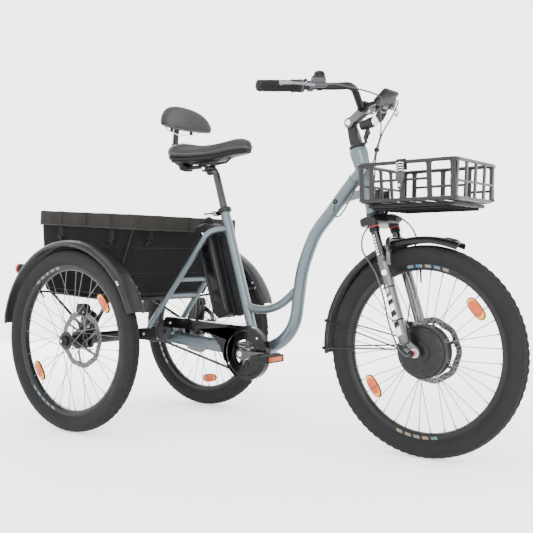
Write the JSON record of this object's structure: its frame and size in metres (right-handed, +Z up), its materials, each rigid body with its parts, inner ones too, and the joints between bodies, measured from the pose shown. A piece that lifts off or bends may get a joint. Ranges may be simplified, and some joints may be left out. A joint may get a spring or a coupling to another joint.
{
  "type": "adult electric cargo tricycle",
  "caption": "Step-through adult tricycle with a hub-motor front wheel in a short suspension fork, wire basket, padded saddle with backrest and a covered fabric bag between the rear wheels.",
  "frame": {"origin": "middle of the tricycle's own box, on the ground", "axes": "+X forward, +Y to the rider's left, +Z up; the wheels' axles run along Y"},
  "size_m": [1.818, 0.792, 1.1442],
  "materials": {
    "frame_paint": "satin slate blue-grey",
    "black_paint": "satin black",
    "gloss_black": "gloss black",
    "black_plastic": "satin black",
    "tyre": "matte",
    "grip": "ribbed matte",
    "steel": "oiled",
    "chrome": "polished",
    "alloy": "satin",
    "fabric": "woven black",
    "vinyl": "smooth dark grey",
    "red_lens": "clear red",
    "screen": "dark screen"
  },
  "bodies": {
    "frame": {"head_tube": "frame_paint", "down_tube": "frame_paint", "seat_tube": "frame_paint", "brace_tube": "frame_paint", "seat_stays": "frame_paint", "chain_stays": "frame_paint", "battery_rail": "black_paint", "rear_axle_beam": "black_paint", "rear_rack": "black_paint", "cargo_bag": "fabric", "rear_fender_right": "black_plastic", "rear_fender_left": "black_plastic", "tail_light_right": "red_lens", "tail_light_left": "red_lens", "drive_chain": "steel", "final_chain": "steel", "chain_guard": "gloss_black", "basket_right": "black_paint", "basket_left": "black_paint", "basket_front": "black_paint", "basket_rear": "black_paint", "basket_floor": "black_plastic"},
    "fork": {"fork_upper": "chrome", "stem_quill": "black_paint"},
    "bar": {"stem_arm": "alloy", "handlebar": "black_paint", "grip_right": "grip", "grip_left": "grip", "brake_master_right": "black_paint", "brake_master_left": "black_paint", "display": "screen", "bell": "gloss_black", "brake_hoses": "black_plastic"},
    "headlight": {"headlight": "gloss_black"},
    "shifter": {"twist_shifter": "black_plastic"},
    "lever_right": {"brake_lever_right": "alloy"},
    "lever_left": {"brake_lever_left": "alloy"},
    "lower_fork": {"fork_lowers": "black_paint", "front_fender": "black_plastic"},
    "front_wheel": {"front_tyre": "tyre", "front_rim": "black_paint", "front_hub_motor": "black_paint"},
    "rear_wheel_right": {"rear_tyre_right": "tyre", "rear_rim_right": "black_paint", "rear_hub_right": "black_paint"},
    "rear_wheel_left": {"rear_tyre_left": "tyre", "rear_rim_left": "black_paint", "rear_hub_left": "black_paint"},
    "axle_sprocket": {"axle_sprocket": "steel"},
    "crank": {"crankset": "black_paint"},
    "pedal_right": {"pedal_right": "black_plastic"},
    "pedal_left": {"pedal_left": "black_plastic"},
    "gear_hub": {"gear_hub": "steel"},
    "clamp_lever": {"seat_clamp_lever": "black_paint"},
    "seat_post": {"seat_post": "chrome"},
    "saddle": {"saddle": "vinyl"},
    "backrest": {"backrest_bar": "black_paint", "backrest_pad": "vinyl"},
    "battery": {"battery": "black_plastic"},
    "bag_cover": {"bag_cover": "fabric"}
  },
  "joints": [
    {"name": "steer", "type": "hinge", "parent": "frame", "child": "fork", "pos_m": [0.43054, 0, 0.722], "axis": [-0.284, 0, 0.9588], "range_deg": [-45, 45]},
    {"name": "stem_angle", "type": "hinge", "parent": "fork", "child": "bar", "pos_m": [0.34363, 0, 1.0154], "axis": [0, 1, 0], "range_deg": [-8, 10], "deforming": ["brake_hoses"]},
    {"name": "headlight_tilt", "type": "hinge", "parent": "fork", "child": "headlight", "pos_m": [0.40354, 0, 0.981], "axis": [0, 1, 0], "range_deg": [-12, 12]},
    {"name": "shifter_twist", "type": "hinge", "parent": "bar", "child": "shifter", "pos_m": [0.31677, -0.25458, 1.09487], "axis": [-0.5765, -0.8156, -0.0492], "range_deg": [-60, 60]},
    {"name": "brake_lever_right", "type": "hinge", "parent": "bar", "child": "lever_right", "pos_m": [0.35732, -0.25266, 1.0961], "axis": [0, 0, -1], "range_deg": [0, 15], "stiffness_Nm_per_rad": 2, "springref_deg": -11.46},
    {"name": "brake_lever_left", "type": "hinge", "parent": "bar", "child": "lever_left", "pos_m": [0.35732, 0.25266, 1.0961], "axis": [0, 0, 1], "range_deg": [0, 15], "stiffness_Nm_per_rad": 2, "springref_deg": -11.46},
    {"name": "fork_travel", "type": "slide", "parent": "fork", "child": "lower_fork", "axis": [-0.284, 0, 0.9588], "range_m": [0, 0.034], "stiffness_N_per_m": 8000, "springref_m": -0.03},
    {"name": "front_wheel_spin", "type": "hinge", "parent": "lower_fork", "child": "front_wheel", "pos_m": [0.59354, 0, 0.31547], "axis": [0, 1, 0], "continuous": true},
    {"name": "rear_wheel_right_spin", "type": "hinge", "parent": "frame", "child": "rear_wheel_right", "pos_m": [-0.56846, -0.35, 0.31547], "axis": [0, 1, 0], "continuous": true},
    {"name": "rear_wheel_left_spin", "type": "hinge", "parent": "frame", "child": "rear_wheel_left", "pos_m": [-0.56846, 0.35, 0.31547], "axis": [0, 1, 0], "continuous": true},
    {"name": "crank_spin", "type": "hinge", "parent": "frame", "child": "crank", "pos_m": [-0.03046, 0, 0.278], "axis": [0, 1, 0], "continuous": true},
    {"name": "gear_hub_spin", "type": "hinge", "parent": "frame", "child": "gear_hub", "pos_m": [-0.41646, 0, 0.334], "axis": [0, 1, 0], "continuous": true},
    {"name": "axle_sprocket_spin", "type": "hinge", "parent": "frame", "child": "axle_sprocket", "pos_m": [-0.56846, 0.05, 0.31547], "axis": [0, 1, 0], "continuous": true},
    {"name": "pedal_right_spin", "type": "hinge", "parent": "crank", "child": "pedal_right", "pos_m": [0.12154, -0.14, 0.278], "axis": [0, 1, 0], "continuous": true},
    {"name": "pedal_left_spin", "type": "hinge", "parent": "crank", "child": "pedal_left", "pos_m": [-0.18246, 0.14, 0.278], "axis": [0, 1, 0], "continuous": true},
    {"name": "clamp_lever_swing", "type": "hinge", "parent": "frame", "child": "clamp_lever", "pos_m": [-0.20276, -0.0174, 0.75278], "axis": [-0.279, 0, 0.9603], "range_deg": [0, 60]},
    {"name": "seat_post_slide", "type": "slide", "parent": "frame", "child": "seat_post", "axis": [-0.279, 0, 0.9603], "range_m": [-0.06, 0.06]},
    {"name": "saddle_tilt", "type": "hinge", "parent": "seat_post", "child": "saddle", "pos_m": [-0.24346, 0, 0.912], "axis": [0, 1, 0], "range_deg": [-8, 8]},
    {"name": "backrest_angle", "type": "hinge", "parent": "saddle", "child": "backrest", "pos_m": [-0.34646, 0, 0.925], "axis": [0, 1, 0], "range_deg": [-20, 8]},
    {"name": "battery_slide", "type": "slide", "parent": "frame", "child": "battery", "axis": [-0.279, 0, 0.9603], "range_m": [0, 0.06]},
    {"name": "bag_cover_lift", "type": "slide", "parent": "frame", "child": "bag_cover", "axis": [0.0663, 0, 0.9978], "range_m": [0, 0.12]}
  ],
  "couplings": [
    {"joint": "gear_hub_spin", "follows": "crank_spin", "ratio": 2.0556},
    {"joint": "axle_sprocket_spin", "follows": "crank_spin", "ratio": 2.0556}
  ]
}
